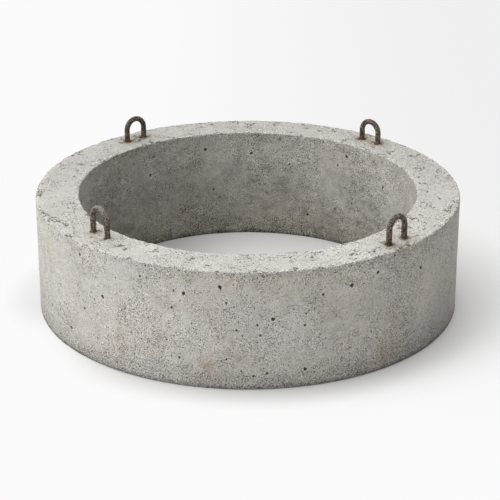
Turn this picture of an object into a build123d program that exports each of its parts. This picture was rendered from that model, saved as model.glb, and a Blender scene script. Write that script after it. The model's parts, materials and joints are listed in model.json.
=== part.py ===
"""A precast concrete ring for the neck of a well, with four steel lifting loops cast into its top.

Millimetres, +Z up. The origin is on the bore's axis, at the bottom face.
"""

from math import cos, radians, sin
import os

from build123d import *

# The cast ring
bore_diameter = 700.0
wall_thickness = 90.0
ring_height = 245.0
arris_radius = 3.0  # the mould's corners leave each edge of the casting slightly rounded

# The lifting loops, four like lengths of plain round bar, each bent to a U with its feet turned out
bar_diameter = 12.0
leg_spacing = 45.0  # between the centrelines of a loop's two legs
loop_height = 235.0  # from the centreline of the feet to the top of the crown
foot_bend_radius = 30.0  # centreline of the bend between a leg and its foot
foot_length = 35.0  # straight end of each foot beyond its bend

# The loops are pushed by hand into the wet concrete, one to each quarter, so none stands quite true.
# For each: its direction from the ring's axis, how far in from the outer face it stands, and how far
# its crown rises above the top face.
loop_places = (
    (0.0, 35.0, 55.5),
    (92.2, 36.0, 49.5),
    (173.9, 41.0, 52.5),
    (266.3, 56.0, 59.5),
)

bore_radius = bore_diameter / 2
outer_radius = bore_radius + wall_thickness
bar_radius = bar_diameter / 2
crown_radius = leg_spacing / 2
spring_height = loop_height - bar_radius - crown_radius  # where a leg turns into the crown
bend_centre = crown_radius + foot_bend_radius
foot_end = bend_centre + foot_length

# One bar, stood on the centreline of its feet: foot, leg, half-round crown, leg and foot
with BuildPart() as bent_bar:
    with BuildLine(Plane.YZ) as centreline:
        Line((-foot_end, 0), (-bend_centre, 0))
        CenterArc((-bend_centre, foot_bend_radius), foot_bend_radius, -90, 90)
        Line((-crown_radius, foot_bend_radius), (-crown_radius, spring_height))
        CenterArc((0, spring_height), crown_radius, 180, -180)
        Line((crown_radius, spring_height), (crown_radius, foot_bend_radius))
        CenterArc((bend_centre, foot_bend_radius), foot_bend_radius, 180, 90)
        Line((bend_centre, 0), (foot_end, 0))
    with BuildSketch(centreline.line ^ 0):
        Circle(bar_radius)
    sweep(path=centreline.line)

lifting_loops = []
for number, (direction, inset, rise) in enumerate(loop_places, start=1):
    reach = outer_radius - inset
    across = reach * cos(radians(direction))
    along = reach * sin(radians(direction))
    feet_level = ring_height + rise - loop_height
    with BuildPart() as lifting_loop:
        with Locations(Location((across, along, feet_level), (0, 0, direction))):
            add(bent_bar.part)
    lifting_loop.part.label = f"lifting_loop_{number}"
    lifting_loops.append(lifting_loop.part)

# The ring is poured round the loops, so their bars leave their own shape in it
with BuildPart() as concrete_ring:
    with BuildSketch(Plane.XZ) as wall_section:
        with Locations((bore_radius + wall_thickness / 2, ring_height / 2)):
            Rectangle(wall_thickness, ring_height)
        fillet(wall_section.vertices(), arris_radius)
    revolve(axis=Axis.Z)
    add(lifting_loops, mode=Mode.SUBTRACT)
concrete_ring.part.label = "concrete_ring"

os.makedirs("parts", exist_ok=True)
for piece in (concrete_ring.part, *lifting_loops):
    export_step(piece, f"parts/{piece.label}.step")
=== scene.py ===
import json
from math import cos, pi, radians, sin

import bmesh
import bpy
import numpy as np
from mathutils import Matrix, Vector


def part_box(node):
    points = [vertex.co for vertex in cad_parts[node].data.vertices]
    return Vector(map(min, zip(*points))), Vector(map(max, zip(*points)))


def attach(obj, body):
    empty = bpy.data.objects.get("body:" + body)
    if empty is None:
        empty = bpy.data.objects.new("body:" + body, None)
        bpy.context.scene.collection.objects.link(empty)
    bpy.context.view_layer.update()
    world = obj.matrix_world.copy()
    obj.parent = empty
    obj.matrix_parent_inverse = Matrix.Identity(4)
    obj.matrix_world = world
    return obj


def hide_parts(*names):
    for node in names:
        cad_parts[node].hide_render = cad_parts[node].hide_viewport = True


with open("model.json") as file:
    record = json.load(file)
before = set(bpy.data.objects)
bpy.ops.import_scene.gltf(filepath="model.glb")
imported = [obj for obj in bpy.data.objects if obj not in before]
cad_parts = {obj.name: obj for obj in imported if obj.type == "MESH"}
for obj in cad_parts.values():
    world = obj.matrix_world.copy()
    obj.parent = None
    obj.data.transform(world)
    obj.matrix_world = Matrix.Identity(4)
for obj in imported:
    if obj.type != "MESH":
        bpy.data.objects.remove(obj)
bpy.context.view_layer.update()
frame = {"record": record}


# Sizes that the pieces share, in metres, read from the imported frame
mounts = {mount["name"]: mount for mount in frame["record"]["mounts"]}
mm = 0.001
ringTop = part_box("concrete_ring")[1].z
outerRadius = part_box("concrete_ring")[1].x
boreRadius = mounts["bore"]["dims"]["r_mm"] * mm


# Camera

camera = {
    "distance": 3.771,  # from the middle of the ring's foot
    "azimuth": 44.76,  # degrees from -Y towards +X
    "elevation": 24.362,
    "tilt": 22.906,  # how far it looks down, a little less than its elevation
    "pan": 0.075,
    "lens": 127.01,
}


def towards(azimuth, elevation):
    # unit vector to a place in the sky, its azimuth counted from the camera's, positive to the right
    a, e = radians(camera["azimuth"] + azimuth), radians(elevation)
    return Vector((sin(a) * cos(e), -cos(a) * cos(e), sin(e)))


def addCamera():
    data = bpy.data.cameras.new("camera")
    data.lens = camera["lens"]
    data.sensor_width = 36
    eye = bpy.data.objects.new("camera", data)
    eye.location = towards(0, camera["elevation"]) * camera["distance"]
    heading = radians(camera["azimuth"] - camera["pan"])
    eye.rotation_euler = (radians(90 - camera["tilt"]), 0, heading)
    bpy.context.scene.collection.objects.link(eye)
    bpy.context.scene.camera = eye
    print("camera set")


# Shader graphs: a Wire is one output in a graph, and sums written on Wires add Math nodes

class Wire:
    def __init__(self, graph, socket):
        self.graph = graph
        self.socket = socket

    def maths(self, operation, *values):
        settings = {"operation": operation}
        return self.graph.add("Math", settings, dict(enumerate(values)))

    def __add__(self, other):
        return self.maths("ADD", self, other)

    def __radd__(self, other):
        return self.maths("ADD", other, self)

    def __sub__(self, other):
        return self.maths("SUBTRACT", self, other)

    def __rsub__(self, other):
        return self.maths("SUBTRACT", other, self)

    def __mul__(self, other):
        return self.maths("MULTIPLY", self, other)

    def __rmul__(self, other):
        return self.maths("MULTIPLY", other, self)

    def __pow__(self, other):
        return self.maths("POWER", self, other)

    def most(self, other):
        return self.maths("MAXIMUM", self, other)

    def least(self, other):
        return self.maths("MINIMUM", self, other)

    def away(self, level):
        # distance from a level, either side
        return self.maths("ABSOLUTE", self - level)

    def rise(self, low, high):
        # a smooth step from 0 at low to 1 at high, falling where low is the larger
        sockets = {0: self, 1: low, 2: high}
        if low > high:
            sockets = {0: self, 1: high, 2: low, 3: 1.0, 4: 0.0}
        return self.graph.add("MapRange", {"interpolation_type": "SMOOTHSTEP"}, sockets)


class Graph:
    def __init__(self, tree):
        self.tree = tree
        self.tree.nodes.clear()

    def add(self, kind, settings=None, sockets=None, out=0):
        # any node: its settings first, then a value or a Wire for each named or numbered socket
        node = self.tree.nodes.new("ShaderNode" + kind)
        for name, value in (settings or {}).items():
            setattr(node, name, value)
        for name, value in (sockets or {}).items():
            if isinstance(value, Wire):
                self.tree.links.new(value.socket, node.inputs[name])
            else:
                node.inputs[name].default_value = value
        return Wire(self, node.outputs[out])

    def place(self):
        return self.add("TexCoord", out="Object")

    def split(self, vector):
        node = self.add("SeparateXYZ", sockets={"Vector": vector}).socket.node
        return [Wire(self, output) for output in node.outputs]

    def noise(self, at, scale, detail, roughness):
        # runs from -1 to 1 about 0
        sockets = {"Vector": at, "Scale": scale, "Detail": detail, "Roughness": roughness}
        return self.add("TexNoise", {"normalize": False}, sockets)

    def dots(self, at, scale, share, size):
        # round spots of uneven size and strength, up to size cells in radius, on a share of the cells
        distance = self.add("TexVoronoi", sockets={"Vector": at, "Scale": scale})
        drawn = Wire(self, distance.socket.node.outputs["Color"])
        chance, growth, depth = self.split(drawn)
        reach = distance + growth * (size * 0.7)
        spot = reach.rise(size * 1.25, size * 0.75) * (chance - (1 - share)).rise(0, 0.05)
        return spot * (0.35 + 0.65 * depth)

    def mix(self, factor, first, second):
        # colours by a factor: numbered sockets, because Mix has several of each name
        return self.add("Mix", {"data_type": "RGBA"}, {0: factor, 6: first, 7: second}, out=2)

    def shaded(self, colour, level):
        # a colour times a number
        return self.add("VectorMath", {"operation": "SCALE"}, {"Vector": colour, "Scale": level})

    def attribute(self, name):
        return self.add("Attribute", {"attribute_name": name}, out="Fac")

    def bump(self, height, distance):
        return self.add("Bump", sockets={"Height": height, "Distance": distance})

    def finish(self, kind, shader):
        output = self.tree.nodes.new("ShaderNodeOutput" + kind)
        self.tree.links.new(shader.socket, output.inputs["Surface"])


def newMaterial(name):
    material = bpy.data.materials.new(name)
    material.use_nodes = True
    return material, Graph(material.node_tree)


def tone(red, green, blue):
    # a colour picked as the eye sees it, 0 to 255, as the linear light that shaders use
    parts = np.array([red, green, blue]) / 255
    low = parts / 12.92
    high = ((parts + 0.055) / 1.055) ** 2.4
    return (*np.where(parts <= 0.04045, low, high).tolist(), 1.0)


# Meshes

def waves(points, length, seed, count=24):
    # smooth random relief of unit size: the sum of count plane waves cos(k.p + phase), each k with its
    # own heading and a wavelength within 0.7 to 1.4 of length
    draw = np.random.default_rng(seed)
    heading = draw.normal(size=(3, count))
    heading /= np.linalg.norm(heading, axis=0)
    pace = 2 * pi / (length * draw.uniform(0.7, 1.4, count))
    phase = draw.uniform(0, 2 * pi, count)
    return np.cos(points @ (heading * pace) + phase).sum(axis=1) * (2 / count) ** 0.5


def bell(distance, reach, power=2):
    # exp(-(distance / reach)^power)
    return np.exp(-(distance / reach) ** power)


def polar(points):
    # the way each point lies from the ring's axis, and how far
    return np.arctan2(points[:, 1], points[:, 0]), np.hypot(points[:, 0], points[:, 1])


def alongRing(turn, angle, radius):
    # length of arc from an angle, by the shorter way round
    return (np.mod(turn - angle + pi, 2 * pi) - pi) * radius


def gridFaces(rows, columns):
    # quads of a grid that is closed in both directions, rows along the first index
    first = np.arange(rows)[:, None]
    second = np.arange(columns)[None, :]
    nextRow = (first + 1) % rows
    nextColumn = (second + 1) % columns
    corners = [
        first * columns + second,
        first * columns + nextColumn,
        nextRow * columns + nextColumn,
        nextRow * columns + second,
    ]
    return np.stack(corners, axis=-1).reshape(-1, 4)


def makeMesh(name, points, faces):
    mesh = bpy.data.meshes.new(name)
    mesh.from_pydata(points.tolist(), [], faces.tolist())
    mesh.update()
    return mesh


def readPoints(mesh):
    flat = np.empty(len(mesh.vertices) * 3)
    mesh.vertices.foreach_get("co", flat)
    return flat.reshape(-1, 3)


def writePoints(mesh, points):
    mesh.vertices.foreach_set("co", points.ravel())
    mesh.update()


def writeValues(mesh, name, values):
    layer = mesh.attributes.new(name, "FLOAT", "POINT")
    layer.data.foreach_set("value", values.astype(np.float32))


def triangles(mesh):
    return len(mesh.loops) - 2 * len(mesh.polygons)


def placePiece(mesh, node, material):
    mesh.materials.append(material)
    mesh.shade_smooth()
    piece = bpy.data.objects.new(mesh.name, mesh)
    bpy.context.scene.collection.objects.link(piece)
    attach(piece, "root")
    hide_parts(node)
    print(mesh.name, "has", triangles(mesh), "triangles")


# The lifting loops

loops = {
    "barRadius": 6 * mm,
    "skin": 0.2 * mm,  # how far the rusted skin lies inside the bar's full size
    "scale": 0.12 * mm,  # depth of the scale and pits in it
    "scaleWaves": ((11 * mm, 0.6), (4 * mm, 0.5)),  # their lengths, and the share of each
    "seed": 40,
    "legSpacing": 45 * mm,
    "loopHeight": 235 * mm,  # centreline of the feet to the top of the crown
    "footBend": 30 * mm,
    "footLength": 35 * mm,
    "count": 4,
    "film": (0.5, 0.45, 0.4, 0.85),  # how much cement lies on each loop's crown
    "filmFrom": -12 * mm,  # it starts at this height over the top face
    "filmRise": 45 * mm,  # and is in full this much higher
    "along": 420,  # points along the bar
    "around": 32,  # and round it
    "fineSteps": 8001,  # places at which the centreline is summed
}


def loopPlace(number):
    # the middle of a loop between its legs, the way it faces and its crown's top, from its eye's mount
    eye = Vector(mounts[f"lifting_eye_{number}"]["pos_m"])
    outward = Vector((eye.x, eye.y, 0)).normalized()
    top = eye.z + 2 * loops["barRadius"]
    return Vector((eye.x, eye.y, 0)), outward, top


def legPlaces():
    # where each of the eight legs goes into the top face
    places = []
    for number in range(1, loops["count"] + 1):
        middle, outward = loopPlace(number)[:2]
        tangent = Vector((-outward.y, outward.x, 0))
        for side in (-1, 1):
            spot = middle + tangent * side * loops["legSpacing"] / 2
            places.append((spot.x, spot.y, ringTop))
    return np.array(places)


def bentBar():
    # centreline in its own plane, from its heading: x = sum of cos(heading) ds, y = sum of sin(heading) ds,
    # where the heading is constant on straights and turns evenly on bends
    crown = loops["legSpacing"] / 2
    bend = loops["footBend"]
    leg = loops["loopHeight"] - loops["barRadius"] - crown - bend
    quarter = bend * pi / 2
    lengths = [loops["footLength"], quarter, leg, crown * pi, leg, quarter, loops["footLength"]]
    turns = np.radians([0, 90, 0, -180, 0, 90, 0])
    marks = np.concatenate([[0], np.cumsum(lengths)])
    headings = np.concatenate([[0], np.cumsum(turns)])
    fine = np.linspace(0, marks[-1], loops["fineSteps"])
    middle = (fine[1:] + fine[:-1]) / 2
    heading = np.interp(middle, marks, headings)
    step = np.diff(fine)
    x = np.concatenate([[0], np.cumsum(np.cos(heading) * step)])
    y = np.concatenate([[0], np.cumsum(np.sin(heading) * step)])
    x -= x[-1] / 2
    along = np.linspace(0, marks[-1], loops["along"])
    bar = np.stack([np.interp(along, fine, x), np.interp(along, fine, y)], axis=1)
    return bar, np.interp(along, marks, headings)


def addLoop(number, material):
    # a round bar carried along its centreline: c(s) + r (cos t * across + sin t * outward), where r has
    # a little relief and shrinks to nothing at both ends
    middle, outward, top = loopPlace(number)
    tangent = np.array((-outward.y, outward.x, 0))
    face = np.array(outward)
    up = np.array((0, 0, 1))
    bar, heading = bentBar()
    base = np.array(middle) + up * (top - loops["loopHeight"])
    centre = base + bar[:, :1] * tangent + bar[:, 1:] * up
    across = -np.sin(heading)[:, None] * tangent + np.cos(heading)[:, None] * up
    turn = np.linspace(0, 2 * pi, loops["around"], endpoint=False)
    circles = np.cos(turn)[None, :, None] * across[:, None, :] + np.sin(turn)[None, :, None] * face
    radius = loops["barRadius"]
    skin = (centre[:, None, :] + circles * radius).reshape(-1, 3)
    relief = sum(
        share * waves(skin, length, loops["seed"] + number + 10 * index)
        for index, (length, share) in enumerate(loops["scaleWaves"])
    )
    depth = (loops["skin"] + loops["scale"] * relief.clip(-1.5, 2.5)).reshape(len(centre), -1)
    ends = np.ones(len(centre))
    ends[[0, -1]] = 0
    skin = centre[:, None, :] + circles * ((radius - depth) * ends[:, None])[:, :, None]
    faces = gridFaces(len(centre), loops["around"])[: (len(centre) - 1) * loops["around"]]
    mesh = makeMesh(f"loopBar_{number}", skin.reshape(-1, 3), faces)
    form = bmesh.new()
    form.from_mesh(mesh)
    bmesh.ops.remove_doubles(form, verts=form.verts, dist=1e-7)
    bmesh.ops.recalc_face_normals(form, faces=form.faces)
    form.to_mesh(mesh)
    form.free()
    normals = np.empty(len(mesh.vertices) * 3)
    mesh.vertices.foreach_get("normal", normals)
    lift = readPoints(mesh)[:, 2] - ringTop
    crown = ((lift - loops["filmFrom"]) / loops["filmRise"]).clip(0, 1)
    lying = (normals.reshape(-1, 3)[:, 2] * 0.6 + 0.5).clip(0, 1)  # how far a face looks up
    writeValues(mesh, "film", loops["film"][number - 1] * crown * lying)
    placePiece(mesh, f"lifting_loop_{number}", material)


# The concrete ring

ring = {
    "arris": 3 * mm,
    "columns": 600,  # faces round the ring
    "wallRows": 40,  # and up each wall, across the top and the bottom, and round each arris
    "topRows": 19,
    "footRows": 5,
    "arrisRows": 4,
    "crowding": 0.6,  # how much closer the rows lie at the arrises than between them
    "fineAtLegs": (18 * mm, 2),  # reach of the finer faces round each leg, and the cuts that make them
    "fineAtHoles": ((7 * mm, 1), (2.7 * mm, 3)),  # the same beyond each hole's edge, in two steps
    "swell": 0.25 * mm,  # the casting's broad unevenness
    "swellLength": 120 * mm,
    "ripple": 0.07 * mm,
    "rippleLength": 26 * mm,
    "topSwell": 0.45 * mm,  # the trowelled top is rougher
    "topWaves": ((46 * mm, 1.0), (17 * mm, 0.7), (9 * mm, 0.5)),  # lengths, and the share of each
    "wear": 1.0 * mm,  # how far the top arrises are rubbed back
    "wearLength": 19 * mm,
    "rim": 6 * mm,  # how far from an arris its wear reaches
    "wornLipAndHighlight": 9 * mm,  # width of the pale lip along the top's edges: worn edge, with a painted highlight where the arris catches the light
    "lipDrop": 2.5 * mm,  # and how far down it goes
    "chips": 130,
    "chipLength": (5 * mm, 20 * mm),
    "chipDepth": (0.5 * mm, 2.4 * mm),
    "chipSeed": 31,
    "brokenDepth": 0.8 * mm,  # how deep a chip is where its surface is all broken stone
    "collar": 10 * mm,  # reach of the cement that clings round each leg
    "collarRise": -0.5 * mm,  # below zero: the concrete shrank away from the bar
    "collarLength": 6 * mm,  # wavelength of its unevenness
    "hollow": 17 * mm,  # reach of the dip that the legs left as they were pushed in
    "hollowDepth": 1.6 * mm,
    "hollowLength": 12 * mm,
    "standOut": 30 * mm,  # this near a leg the concrete may stand out past its full form
    "topDepth": 12 * mm,  # what lies deeper than this has no part in the marks round the legs
    "soil": (1.0, 1.0, 0.9, 0.5),  # how much soil lies round each loop's legs
    "soilReach": 24 * mm,
    "soilCore": 14 * mm,
    "gap": 8.6 * mm,  # where the dark gap round a leg ends: rust, with painted shade of the gap in it
    "seededHoles": 46,
    "seededOuter": (20, 255),  # the degrees between which they stand, on the outer face and in the bore
    "seededBore": (-60, 80),
    "seededHeight": (20, 228),
    "seededWidth": (3.5, 6),
    "holeSeed": 11,
    "darkDepth": 2.2 * mm,  # how deep a hole is where it is darkest
    "spill": 6 * mm,  # how far the patches of stain reach past the outer face and the top
}

# The larger air holes: degrees round the ring, height and width in mm
outerHoles = [
    (275.2, 150, 7.2), (268.2, 108, 5.6), (261.9, 49, 7), (298.8, 194, 7.2), (296.3, 198, 3.8),
    (295.7, 162, 4.8), (307.9, 213, 7.6), (309.5, 181, 4.6), (312, 125, 4.8), (297.5, 59, 5.5),
    (309.5, 64, 4.3), (317.1, 136, 4.8), (267, 220, 6.6), (294.2, 93, 3.4), (287.1, 215, 4.8),
    (316.1, 29, 4.8), (321, 147, 7.2), (329, 130, 5.4), (329.3, 154, 3.5), (317.8, 115, 4.7),
    (341.4, 197, 7.8), (333.6, 189, 5.5), (349.1, 211, 6.8), (5, 186, 8), (329.2, 37, 7),
    (319.6, 34, 5.4),
]
boreHoles = [
    (150.7, 209, 7.5), (133.4, 195, 6.4), (173.3, 170, 6), (147.7, 110, 4.8), (158.8, 70, 3.6),
    (171.8, 211, 5), (184.6, 152, 3.6), (95.8, 215, 7), (93, 107, 4.8), (77.1, 174, 6.2),
    (119, 173, 4.3), (120.6, 162, 3.8), (111.8, 56, 5.5), (99.6, 189, 4.6),
]

# Patches on the outer face and the top: degrees, height, half length and half height in mm, strength. A
# height above the ring's own is that much further in from the outer edge, on the top face.
patches = {
    "rustStain": [
        (279.8, 68, 6, 14, 1.0), (281, 48, 5, 10, 0.9), (304.2, 44, 15, 16, 1.1), (303, 22, 18, 10, 0.9),
        (352, 22, 20, 12, 0.7), (351.4, 40, 15, 27, 1.2), (354, 96, 26, 24, 0.45), (359, 30, 20, 14, 0.5),
        (40, 70, 20, 16, 0.7), (118, 48, 16, 20, 0.8), (205, 60, 22, 14, 0.7),
    ],
    "pinkStain": [
        (309, 214, 20, 14, 0.9), (312, 224, 22, 9, 0.9), (307, 184, 22, 26, 0.8), (306, 156, 16, 14, 0.6),
        (319.8, 222, 20, 10, 0.6), (328, 226, 22, 12, 1.0), (290, 169, 20, 16, 0.4),
        (300, 172, 24, 16, 0.4), (355, 122, 30, 40, 0.7), (3, 190, 26, 30, 0.5), (60, 200, 34, 20, 0.6),
        (140, 212, 30, 16, 0.7), (232, 190, 30, 22, 0.5), (351.5, 40, 26, 32, 0.9), (355, 78, 22, 20, 0.6),
    ],
    "greenStain": [
        (322, 222, 14, 12, 0.9), (326, 210, 10, 10, 0.6), (339.4, 219, 16, 12, 0.8), (299, 226, 26, 8, 0.6),
        (349, 120, 14, 40, 0.5), (250, 190, 12, 60, 0.9), (245, 120, 10, 70, 0.7), (100, 180, 20, 30, 0.6),
        (170, 120, 30, 30, 0.5),
    ],
    # dirt, with painted shade in the wide low patches at 12 and 20 degrees, where the floor beside the ring
    # lies in shadow, and paler places where the strength is below zero
    "dirtAndShadeStain": [
        (351.2, 36, 11, 20, 0.9), (12, 45, 150, 62, 0.4), (20, 80, 100, 80, 0.8), (285, 52, 22, 20, 0.3),
        (305, 20, 40, 26, 0.3), (240, 62, 60, 80, 0.8), (281, 112, 18, 30, 0.4), (297, 130, 28, 45, -0.9),
        (296, 192, 28, 24, -0.5), (327, 142, 30, 36, -0.9), (324, 108, 26, 20, -0.6),
        (306, 80, 24, 16, -0.6), (320, 56, 30, 26, -0.5), (345, 212, 80, 22, -0.6),
        (345, 285, 60, 45, -0.8), (268, 282, 50, 40, -0.6), (284, 305, 50, 18, -0.6),
        (66, 268, 80, 28, 0.6), (215, 278, 120, 26, 0.4), (12, 288, 60, 20, -0.4),
        (315, 230, 90, 24, 0.3), (315, 290, 100, 30, 0.35),
    ],
    # where the skin is rougher than elsewhere, or smoother where the strength is below zero
    "roughArea": [
        (355, 52, 95, 50, 0.7), (342, 205, 30, 26, 0.7), (5, 205, 60, 26, 0.5), (320, 228, 80, 12, 0.5),
        (290, 20, 140, 24, 0.6), (277, 118, 34, 60, -0.6), (325, 175, 26, 30, -0.5),
        (283, 190, 30, 34, -0.4), (316, 120, 90, 90, 0.12), (352, 130, 80, 90, 0.45),
        (351, 36, 12, 17, 1.0),
    ],
}


def sectionPoints():
    # the rounded section, walked from the foot of the outer face up, over the top, down the bore and back
    # along the bottom: each side has crowded steps t - k sin(2 pi t) / 2 pi, each arris a quarter round
    a = ring["arris"]
    corners = [
        (outerRadius - a, a, -90), (outerRadius - a, ringTop - a, 0),
        (boreRadius + a, ringTop - a, 90), (boreRadius + a, a, 180),
    ]
    rows = [ring["wallRows"], ring["topRows"], ring["wallRows"], ring["footRows"]]
    points = []
    for index, (radius, height, start) in enumerate(corners):
        angles = np.radians(np.linspace(start, start + 90, ring["arrisRows"] + 1))
        quarter = np.stack([radius + a * np.cos(angles), height + a * np.sin(angles)], axis=1)
        nextRadius, nextHeight, nextStart = corners[(index + 1) % 4]
        turned = radians(nextStart)
        begin = quarter[-1]
        finish = np.array([nextRadius + a * cos(turned), nextHeight + a * sin(turned)])
        t = np.linspace(0, 1, rows[index] + 1)[1:-1]
        t = t - ring["crowding"] * np.sin(2 * pi * t) / (2 * pi)
        side = begin + (finish - begin) * t[:, None]
        points += [quarter, side]
    return np.concatenate(points)


def ringGrid():
    # the section turned about Z: (r cos t, r sin t, z)
    section = sectionPoints()
    turn = np.linspace(0, 2 * pi, ring["columns"], endpoint=False)
    radius, height = section[:, :1], section[:, 1:]
    x = radius * np.cos(turn)
    y = radius * np.sin(turn)
    z = np.broadcast_to(height, x.shape)
    points = np.stack([x, y, z], axis=-1).reshape(-1, 3)
    return points, gridFaces(len(section), ring["columns"])[:, ::-1]


def outwardNormals(points):
    # the rounded section's normal: away from the nearest point of the section shrunk by the arris
    a = ring["arris"]
    radius = np.hypot(points[:, 0], points[:, 1])
    height = points[:, 2]
    side = radius - radius.clip(boreRadius + a, outerRadius - a)
    lift = height - height.clip(a, ringTop - a)
    size = np.hypot(side, lift)
    side, lift = side / size, lift / size
    return np.stack([side * points[:, 0] / radius, side * points[:, 1] / radius, lift], axis=1)


def refine(mesh, spots, reach, cuts):
    # splits the quads near the given spots, so that small forms there have faces enough
    middles = np.empty(len(mesh.polygons) * 3)
    mesh.polygons.foreach_get("center", middles)
    middles = middles.reshape(-1, 3)
    form = bmesh.new()
    form.from_mesh(mesh)
    form.faces.ensure_lookup_table()
    near = np.zeros(len(middles), bool)
    for spot, span in zip(spots, reach):
        near |= ((middles - spot) ** 2).sum(axis=1) < span ** 2
    edges = {edge for index in np.nonzero(near)[0] for edge in form.faces[index].edges}
    bmesh.ops.subdivide_edges(form, edges=list(edges), cuts=cuts, use_grid_fill=True)
    form.to_mesh(mesh)
    form.free()


def onWall(radius, degrees, height):
    return np.array([radius * cos(radians(degrees)), radius * sin(radians(degrees)), height * mm])


def airHoles():
    # each hole's middle and its width: those listed, then seeded ones over the sides not seen
    places = [(onWall(outerRadius, degrees, height), width * mm) for degrees, height, width in outerHoles]
    places += [(onWall(boreRadius, degrees, height), width * mm) for degrees, height, width in boreHoles]
    draw = np.random.default_rng(ring["holeSeed"])
    for index in range(ring["seededHoles"]):
        onBore = index % 3 == 0
        degrees = draw.uniform(*ring["seededBore" if onBore else "seededOuter"])
        height = draw.uniform(*ring["seededHeight"])
        width = draw.uniform(*ring["seededWidth"]) + 3 * draw.random() ** 4
        places.append((onWall(boreRadius if onBore else outerRadius, degrees, height), width * mm))
    return places


def holeDepth(points, holes):
    # a rounded pocket for each hole: 0.75 w (1 - (2 d / w)^2)^0.5 within its width w, and round it an
    # edge of pale broken skin with a painted highlight on the rim: a bell of 2 d / w about 1.3
    depth = np.zeros(len(points))
    edge = np.zeros(len(points))
    warp = 1 + 0.1 * waves(points, 6 * mm, 21)
    for middle, width in holes:
        distance = np.linalg.norm(points - middle, axis=1) * warp
        depth = np.maximum(depth, 0.75 * width * (1 - (2 * distance / width) ** 2).clip(0) ** 0.5)
        edge = np.maximum(edge, bell(2 * distance / width - 1.3, 0.3))
    return depth, edge


def chipDepth(points):
    # broken places along the arrises, most of them on the outer top one: a chip's depth times 1.25 - d^2,
    # kept within 0 and 1, where d counts half its length along the arris and 0.55 of that across it
    draw = np.random.default_rng(ring["chipSeed"])
    turn, radius = polar(points)
    warp = 1 + 0.25 * waves(points, 7 * mm, 22)
    depth = np.zeros(len(points))
    for index in range(ring["chips"]):
        edgeRadius = boreRadius if index % 4 == 3 else outerRadius
        edgeHeight = 0 if index % 8 == 5 else ringTop
        angle = draw.uniform(-pi, pi)
        half = draw.uniform(*ring["chipLength"]) / 2
        deep = draw.uniform(*ring["chipDepth"]) * draw.uniform(0.4, 1)
        along = alongRing(turn, angle, edgeRadius)
        across = np.hypot(radius - edgeRadius, points[:, 2] - edgeHeight)
        distance = np.hypot(along / half, across / (half * 0.55)) * warp
        depth = np.maximum(depth, deep * (1.25 - distance ** 2).clip(0, 1))
    return depth


def legDistance(points):
    # how far the nearest leg is, where the top face is near and otherwise 1, and how much soil lies round it
    away = np.stack([np.linalg.norm(points[:, :2] - leg[:2], axis=1) for leg in legPlaces()])
    soil = np.repeat(ring["soil"], 2)[away.argmin(axis=0)]
    return np.where(points[:, 2] > ringTop - ring["topDepth"], away.min(axis=0), 1), soil


def patchValues(points, spots):
    # the sum of soft spots exp(-(along / half length)^2 - (climb / half height)^2), where climb is the way
    # up the outer face and on over the edge
    turn, radius = polar(points)
    climb = points[:, 2] + outerRadius - radius
    onOuter = radius > outerRadius - ring["spill"]
    onTop = (points[:, 2] > ringTop - ring["spill"]) & (radius > boreRadius + 2 * mm)
    total = np.zeros(len(points))
    for degrees, height, halfLength, halfHeight, strength in spots:
        along = alongRing(turn, radians(degrees), outerRadius)
        lift = climb - height * mm
        total += strength * bell(along, halfLength * mm) * bell(lift, halfHeight * mm)
    return total.clip(-1, 1) * (onOuter | onTop)


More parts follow.
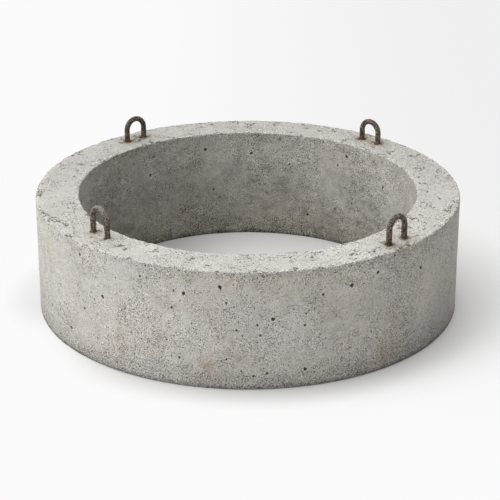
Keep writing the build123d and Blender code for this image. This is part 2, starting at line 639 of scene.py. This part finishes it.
def addRing(material):
    points, faces = ringGrid()
    mesh = makeMesh("concreteRing", points, faces)
    holes = airHoles()
    legs = legPlaces()
    reach, cuts = ring["fineAtLegs"]
    refine(mesh, legs, [reach] * len(legs), cuts)
    middles = [middle for middle, width in holes]
    for beyond, cuts in ring["fineAtHoles"]:
        refine(mesh, middles, [width / 2 + beyond for middle, width in holes], cuts)

    points = readPoints(mesh)
    normals = outwardNormals(points)
    radius = polar(points)[1]
    top = normals[:, 2].clip(0, 1)
    pockets, holeRimAndHighlight = holeDepth(points, holes)
    chips = chipDepth(points)
    inward = np.minimum(outerRadius - radius, radius - boreRadius)
    below = ringTop - points[:, 2]
    rim = bell(np.hypot(inward, below), ring["rim"])
    wornLipAndHighlight = bell(inward, ring["wornLipAndHighlight"]) * (1 - below / ring["lipDrop"]).clip(0, 1)
    fromLeg, soil = legDistance(points)
    collar = bell(fromLeg, ring["collar"], 4)
    hollow = bell(fromLeg, ring["hollow"])

    # how far the skin lies inside the full form
    depth = ring["swell"] * (1 + 0.5 * waves(points, ring["swellLength"], 1)).clip(0, 2)
    depth += ring["ripple"] * (1 + waves(points, ring["rippleLength"], 2)).clip(0, 2)
    rough = sum(
        share * waves(points, length, 3 + index)
        for index, (length, share) in enumerate(ring["topWaves"])
    )
    depth += ring["topSwell"] * top * (1 + 0.5 * rough).clip(0, 3)
    depth += ring["wear"] * rim * (0.55 + 0.5 * waves(points, ring["wearLength"], 6)).clip(0, 1.6)
    depth += ring["hollowDepth"] * hollow * (1 + 0.4 * waves(points, ring["hollowLength"], 7))
    uneven = 1 + 0.3 * waves(points, ring["collarLength"], 8)
    depth -= (ring["hollowDepth"] + ring["collarRise"]) * collar * uneven
    depth = np.where(fromLeg < ring["standOut"], depth, depth.clip(0))
    depth += np.maximum(chips, pockets)
    depth[points[:, 2] < 1e-6] = 0
    writePoints(mesh, points - normals * depth[:, None])

    writeValues(mesh, "top", top)
    writeValues(mesh, "bore", (-(normals[:, :2] * points[:, :2]).sum(axis=1) / radius).clip(0, 1))
    writeValues(mesh, "pocket", (pockets / ring["darkDepth"]).clip(0, 1))
    writeValues(mesh, "holeRimAndHighlight", holeRimAndHighlight)
    writeValues(mesh, "broken", (chips / ring["brokenDepth"]).clip(0, 1))
    writeValues(mesh, "rim", rim)
    writeValues(mesh, "wornLipAndHighlight", wornLipAndHighlight)
    writeValues(mesh, "nearLeg", soil * bell(fromLeg, ring["soilReach"]))
    writeValues(mesh, "atLeg", soil * bell(fromLeg, ring["soilCore"], 4))
    writeValues(mesh, "gap", bell(fromLeg, ring["gap"], 8))
    for name, spots in patches.items():
        writeValues(mesh, name, patchValues(points, spots))
    placePiece(mesh, "concrete_ring", material)


# Materials: their colours are 0 to 255, as the eye sees them, and the scale of a noise or of dots counts
# cells to the metre

castFinish = {
    "between": ((183, 180.7, 176.7), (185, 181.3, 175.6)),  # its grey wanders from one to the other
    "top": (183.5, 181, 175.5),
    # a warmer grey that stands in for the warmer light in the bore's shade: a painted shade tint
    "bore": (184, 181, 174),
    "stains": {  # each one's colour, and how much of it shows where it is thinnest
        "rustStain": ((174, 161, 146), 0.3),
        "pinkStain": ((188, 180, 174), 0.3),
        "greenStain": ((176, 178, 160), 0.2),
    },
    "seep": (178, 173, 155),  # low in the bore
    "soil": (150, 136, 112),
    "wetSoil": (112, 98, 78),
    # rust and painted shade in the gap round each leg
    "gap": (56, 48, 38),
    # painted shade in the holes
    "hole": (86, 77, 66),
    "speck": (60, 53, 45),
    # cracks, partly painted shade of small ledges
    "crack": (80, 72, 61),
    "foot": 50 * mm,  # the skin is rough up to here, and darkened there with painted contact shade
    "brink": (26 * mm, 8 * mm),  # and again from so far below the top, in full from there
    "tornEdge": (35 * mm, 8 * mm),  # the top is more torn within this of its outer edge
    "level": 1.185,  # brightness of the plain skin
    "sand": 0.72,  # how strongly the finest grain shows
    # painted shade: how much darker the bore's walls are made, as in their own shade
    "boreShade": 0.27,
    "dirtAndShade": 0.2,  # how much darker dirt and the painted shade patches make the skin, and holes (painted shade) and chips their insides
    "holeShade": 0.64,
    "brokenShade": 0.06,
    "roughness": 0.94,
    "reliefDepth": 0.4 * mm,
}


def concreteMaterial():
    material, g = newMaterial("castConcrete")
    at = g.place()
    x, y, height = g.split(at)
    top = g.attribute("top")
    bore = g.attribute("bore")
    rim = g.attribute("rim")
    foot = height.rise(castFinish["foot"], 0.0)
    start, full = castFinish["brink"]
    brink = height.rise(ringTop - start, ringTop - full) * (1 - top)

    # how even the skin is: smooth sheets of laitance among places where the sand shows
    sheet = g.noise(at, 13, 2.0, 0.55)
    patch = g.noise(at, 48, 2.0, 0.6)
    rough = rim * 0.4 + foot * 0.9 + brink * 0.4 + g.attribute("roughArea")
    rough = rough + top * (0.22 + x * 0.35)
    bare = (sheet + patch * 0.6 + rough).rise(-0.35, 0.5)
    sides = 1 - top * 0.2

    # small dark pits in the skin, wider specks, a few crumbs, and bare grains of pale sand
    worn = (g.noise(at, 470, 1.0, 0.5) + bare * 0.2).rise(0.56, 0.70) * sides
    pits = g.dots(at, 370, (0.10 + 0.30 * bare) * sides, 0.38)
    specks = g.dots(at, 175, (0.10 + 0.27 * bare) * sides, 0.27)
    crumbs = g.dots(at, 96, (0.07 + 0.22 * bare) * (1 - bore * 0.25), 0.18)
    hollows = (g.dots(at, 170, 0.12 + 0.34 * bare, 0.30) * (1.8 * top)).least(1)
    nicks = g.dots(at, 190, 0.34 * brink + 0.3 * rim + 0.2 * foot, 0.3)
    dark = worn.most(pits).most(specks).most(crumbs).most(hollows).most(nicks)
    pale = g.dots(at, 340, 0.2 + 0.5 * bare, 0.4)

    # cracks and drag marks in the top face, drawn out along the ring: a noise of the direction from the
    # axis and of the distance from it, crossed at one level; their dark colour is partly painted shade of
    # small ledges
    reach = (x * x + y * y) ** 0.5
    toCircle = 0.4 * reach ** -1
    drawn = g.add("CombineXYZ", sockets={0: x * toCircle, 1: y * toCircle, 2: reach * 1.9})
    line = g.noise(drawn, 26, 3.0, 0.65).away(0.02).rise(0.15, 0.05)
    start, full = castFinish["tornEdge"]
    outer = reach.rise(outerRadius - start, outerRadius - full) * top
    torn = (g.noise(at, 34, 1.0, 0.5) + rim * 0.12 + outer * 0.12).rise(0.27, 0.38)
    cracks = line * torn * (0.06 + 0.94 * top)
    streak = g.noise(drawn, 60, 2.0, 0.6)

    # smears and veins that run along the sides, and damp clouds
    dragged = g.add("CombineXYZ", sockets={0: x, 1: y, 2: height * 2.6})
    smear = g.noise(dragged, 24, 4.0, 0.65)
    damp = g.noise(at, 9, 3.0, 0.55)
    veins = g.noise(dragged, 38, 3.0, 0.65).away(0.0).rise(0.12, 0.03)
    veins = veins * g.noise(at, 19, 2.0, 0.5).rise(0.12, 0.34) * (1 - top) * 0.42
    cloud = g.noise(at, 6, 2.0, 0.5)
    mottle = g.noise(at, 60, 3.0, 0.6)
    grain = g.noise(at, 330, 2.0, 0.7)
    sand = g.noise(at, 700, 1.0, 0.5)

    # how bright each place is: its grain, then painted light on the top and painted shade in the bore, the
    # lip, painted shade at the foot, dirt and painted shade patches, and painted shade in the holes
    level = castFinish["level"] + cloud * (0.11 - 0.06 * top) + mottle * (0.13 - 0.06 * top)
    level = level + (grain * 0.28 + sand * castFinish["sand"]) * (0.5 + 0.7 * bare)
    level = level + pale * (0.42 + bore * 0.18)
    # the top face is made paler, and paler still towards the near side (x - y): that slope is painted light,
    # as from a lamp close by
    level = level + top * (0.06 + (x - y) * 0.18 + streak * 0.07)
    # painted shade in the bore: darker on its left, the side away from the light (low x + y), lightest
    # towards its top and a little lighter at its foot, with smears and damp clouds in it
    paintedBoreShade = castFinish["boreShade"] + (x + y).rise(0.1, -0.45) * 0.09 + smear * 0.15 + damp * 0.15
    paintedBoreShade = paintedBoreShade - height.rise(0.1, 0.22) * 0.2 + height.rise(0.03, 0.075) * 0.07 - foot * 0.08
    level = level - bore * paintedBoreShade - brink * 0.05
    # the pale lip: worn edge, with a painted highlight where the arris catches the light
    level = level + g.attribute("wornLipAndHighlight") * (0.07 + grain * 0.6)
    # painted shade at the foot: darker towards the bottom where the wall meets the floor, darkest in a thin
    # contact line
    level = level - foot * 0.20 - height.rise(0.1, 0.02) * 0.06 - height.rise(0.014, 0.0) * 0.42
    # dirt, and painted shade in the low patches at the right
    level = level - g.attribute("dirtAndShadeStain") * (castFinish["dirtAndShade"] + mottle * 0.08)
    # the pale rim round each hole: broken skin, with a painted highlight
    level = level + g.attribute("holeRimAndHighlight") * 0.14
    # painted shade in the holes: darker the deeper they are
    pocket = g.attribute("pocket")
    level = level * (1 - pocket * castFinish["holeShade"])
    broken = g.attribute("broken")
    level = level * (1 - broken * (castFinish["brokenShade"] + grain.rise(-0.2, 0.4) * 0.22))

    warm = g.noise(at, 9, 2.0, 0.5).rise(-0.3, 0.3)
    first, second = castFinish["between"]
    colour = g.mix(warm, tone(*first), tone(*second))
    colour = g.mix(top * 0.8, colour, tone(*castFinish["top"]))
    # the bore's warmer grey: a painted shade tint
    colour = g.mix(bore * 0.5, colour, tone(*castFinish["bore"]))
    blotch = g.noise(at, 55, 3.0, 0.65).rise(-0.35, 0.3)
    for name, (stain, least) in castFinish["stains"].items():
        shown = g.attribute(name) * (least + (1 - least) * blotch)
        colour = g.mix(shown, colour, tone(*stain))
    seep = bore * height.rise(0.13, 0.02) * blotch * 0.6
    colour = g.mix(seep, colour, tone(*castFinish["seep"]))
    nearLeg = g.attribute("nearLeg")
    colour = g.mix(nearLeg * blotch * 0.8, colour, tone(*castFinish["soil"]))
    wet = (g.attribute("atLeg") + mottle * 0.8 + grain * 0.3).rise(0.2, 0.9) * nearLeg.rise(0.05, 0.4)
    colour = g.mix(wet * 0.75, colour, tone(*castFinish["wetSoil"]))
    # the dark ring round each leg: rust, and painted shade where the concrete shrank from the bar
    gap = (g.attribute("gap") + grain * 0.3).rise(0.35, 0.7)
    colour = g.mix(gap * 0.9, colour, tone(*castFinish["gap"]))
    colour = g.shaded(colour, level)
    # the holes' painted shade takes a warm dark tone
    colour = g.mix(pocket * 0.5, colour, tone(*castFinish["hole"]))
    colour = g.mix((dark * 1.06).least(1), colour, tone(*castFinish["speck"]))
    # the cracks' dark colour: partly painted shade of the small ledges they stand for
    colour = g.mix((cracks * 0.85).most(veins), colour, tone(*castFinish["crack"]))

    relief = grain * 0.3 + mottle * 0.5 - dark * 0.7 - cracks * 1.2 - veins
    shader = g.add("BsdfPrincipled", sockets={
        "Base Color": colour,
        "Roughness": castFinish["roughness"],
        "Specular IOR Level": 0.3,
        "Normal": g.bump(relief, castFinish["reliefDepth"]),
    })
    g.finish("Material", shader)
    return material


# Colours of the bars, and how fully each lies over the ones before it
barFinish = {
    "rust": ((54, 46, 39), (106, 84, 64)),  # it wanders from one to the other
    "scale": ((150, 138, 124), 0.6),
    "film": ((162, 152, 143), 0.85),
    "grit": ((176, 164, 146), 0.8),
    "splash": ((176, 165, 148), 0.65),
    "foot": ((96, 86, 74), 0.4),
    "splashHeight": 60 * mm,  # splashes are most common at the top face and even from here up
    "roughness": 0.5,
    "reliefDepth": 0.35 * mm,
}


def steelMaterial():
    material, g = newMaterial("rustedBar")
    at = g.place()
    height = g.split(at)[2]
    patch = g.noise(at, 150, 3.0, 0.6)
    flecks = g.noise(at, 460, 2.0, 0.6)
    rust = (patch * 0.7 + flecks * 0.7).rise(-0.1, 0.4)
    first, second = barFinish["rust"]
    colour = g.mix(rust, tone(*first), tone(*second))

    # worn scale shows grey, a film of cement lies on what faces up, grit and splashes of it cling to the
    # bar, most of them low on the legs, and cement dulls the bar's foot
    low = height.rise(ringTop + barFinish["splashHeight"], ringTop)
    film = (g.attribute("film") + patch * 0.4 + flecks * 0.7).rise(0.3, 0.9)
    splash = g.dots(at, 320, 0.07 + 0.2 * low, 0.38)
    layers = {
        "scale": (g.noise(at, 120, 3.0, 0.65) * 0.6 + flecks * 0.7).rise(0.10, 0.40),
        "film": film,
        "grit": g.dots(at, 430, 0.24, 0.4),
        "splash": splash,
        "foot": (height + flecks * (4 * mm) + patch * (7 * mm)).rise(ringTop + 5 * mm, ringTop - 1 * mm),
    }
    for name, cover in layers.items():
        shade, strength = barFinish[name]
        colour = g.mix(cover * strength, colour, tone(*shade))
    relief = patch * 0.6 + flecks * 0.5 + splash * 0.4
    covered = rust.most(film).most(splash)
    shader = g.add("BsdfPrincipled", sockets={
        "Base Color": colour,
        "Roughness": barFinish["roughness"] + covered * 0.3,
        "Specular IOR Level": 0.3,
        "Normal": g.bump(relief, barFinish["reliefDepth"]),
    })
    g.finish("Material", shader)
    return material


# Stage: a pale floor under a soft studio sky, bright at the left and behind

stage = {
    "floorSize": 8.0,
    "floorSeen": 0.95,  # how pale the floor looks, and the warm tone of the light that it sends back
    "floorBounce": (0.81, 0.795, 0.765),
    "shadowAside": 0.10,  # the shadow's middle lies this far to the right of the ring's axis
    "shadowBehind": 0.08,  # and this far behind it
    "shadowReach": (0.41, 0.63),  # from there the rendered shadow is painted out into the plain tone between these distances
    "contact": 0.09,  # width of the shadow close round the ring
    "leftShade": 0.17,  # a painted shadow: how much the plain tone is darkened close round the ring at the left, against the light
    "leftFrom": (-0.25, -0.42),  # where the left begins, from the ring's axis
    "leftBand": (0.24, 0.06),  # and how far it goes to the front and back
    "boreGlow": 0.14,  # painted light: share of the plain tone laid over the floor that shows through the bore
    "glowReach": (0.4, 0.0),
    "boreShade": 0.25,  # painted shade: how much darker the floor in the bore is made at the left
    "boreShadeFrom": (0.0, -0.22),
    "backdrop": 0.965,
    "dusk": 0.093,  # painted shade: how much greyer the floor's plain tone is at the right and behind
    "duskAside": (-0.5, 0.7),
    "duskBehind": (-0.85, 0.35),
    "duskEdge": (3.9, 2.7),  # it is gone where the floor ends
    "skyLevel": 0.10,
    "skyLobes": [
        {"azimuth": -90, "elevation": 15, "strength": 2.14},
        {"azimuth": -45, "elevation": 45, "strength": 0.95},
        {"azimuth": 12, "elevation": 25, "strength": 0.25},
        {"azimuth": 180, "elevation": 45, "strength": 2.0},
    ],
    "lobePower": 3,
}


def addFloor():
    half = stage["floorSize"] / 2
    corners = np.array([(-half, -half, 0), (half, -half, 0), (half, half, 0), (-half, half, 0)])
    mesh = makeMesh("floor", corners, np.array([[0, 1, 2, 3]]))
    material, g = newMaterial("paleFloor")
    x, y = g.split(g.place())[:2]
    seen = g.add("LightPath", out="Is Camera Ray")
    grey = g.mix(seen, (*stage["floorBounce"], 1), (*[stage["floorSeen"]] * 3, 1))
    right, back = towards(90, 0), -towards(0, 0)
    aside = x * right.x + y * right.y
    behind = x * back.x + y * back.y
    radius = (x * x + y * y) ** 0.5
    within = radius.rise(outerRadius, boreRadius)
    # painted shade: the floor in the bore darkened towards its left
    deep = within * aside.rise(*stage["boreShadeFrom"]) * stage["boreShade"]
    shaded = g.add("BsdfDiffuse", sockets={"Color": g.shaded(grey, 1 - deep)})
    dusk = aside.rise(*stage["duskAside"]) * behind.rise(*stage["duskBehind"])
    dusk = dusk * radius.rise(*stage["duskEdge"])
    reach = ((aside - stage["shadowAside"]) ** 2 + (behind - stage["shadowBehind"]) ** 2) ** 0.5
    # painted light: the floor seen through the bore is lifted towards the plain tone
    inside = within * aside.away(0).rise(*stage["glowReach"]) * stage["boreGlow"]
    touching = radius.rise(outerRadius + stage["contact"], outerRadius)
    left = aside.rise(*stage["leftFrom"])
    paintedLeftShadow = touching * left * behind.away(0.03).rise(*stage["leftBand"]) * stage["leftShade"]
    # the plain tone carries painted shade: greyer at the right and behind, and a painted shadow close round
    # the ring at the left
    plain = g.add("Emission", sockets={"Strength": stage["backdrop"] - stage["dusk"] * dusk - paintedLeftShadow})
    fade = (reach.rise(*stage["shadowReach"]) * (1 - touching * (1 - left))).most(inside) * seen
    g.finish("Material", g.add("MixShader", sockets={0: fade, 1: shaded, 2: plain}))
    mesh.materials.append(material)
    floor = bpy.data.objects.new("floor", mesh)
    bpy.context.scene.collection.objects.link(floor)


def addSky():
    # light from a direction d: a level all round, plus strength (d . lobe)^power for each lobe
    world = bpy.data.worlds.new("studio")
    bpy.context.scene.world = world
    world.use_nodes = True
    g = Graph(world.node_tree)
    direction = g.add("TexCoord", out="Generated")
    level = stage["skyLevel"]
    for lobe in stage["skyLobes"]:
        middle = towards(lobe["azimuth"], lobe["elevation"])
        facing = g.add("VectorMath", {"operation": "DOT_PRODUCT"}, {0: direction, 1: middle}, "Value")
        level = level + lobe["strength"] * facing.most(0) ** stage["lobePower"]
    light = g.add("Background", sockets={"Strength": level})
    white = g.add("Background", sockets={"Color": (1, 1, 1, 1), "Strength": stage["backdrop"]})
    rays = g.add("LightPath").socket.node.outputs
    seen = Wire(g, rays["Is Camera Ray"])
    seen = seen.most(Wire(g, rays["Is Glossy Ray"])).most(Wire(g, rays["Is Transmission Ray"]))
    g.finish("World", g.add("MixShader", sockets={0: seen, 1: light, 2: white}))


addCamera()
concrete = concreteMaterial()
steel = steelMaterial()
print("concrete and steel mixed")
addRing(concrete)
for number in range(1, loops["count"] + 1):
    addLoop(number, steel)
addFloor()
addSky()
bpy.context.scene.view_settings.view_transform = "Standard"
print("stage lit")
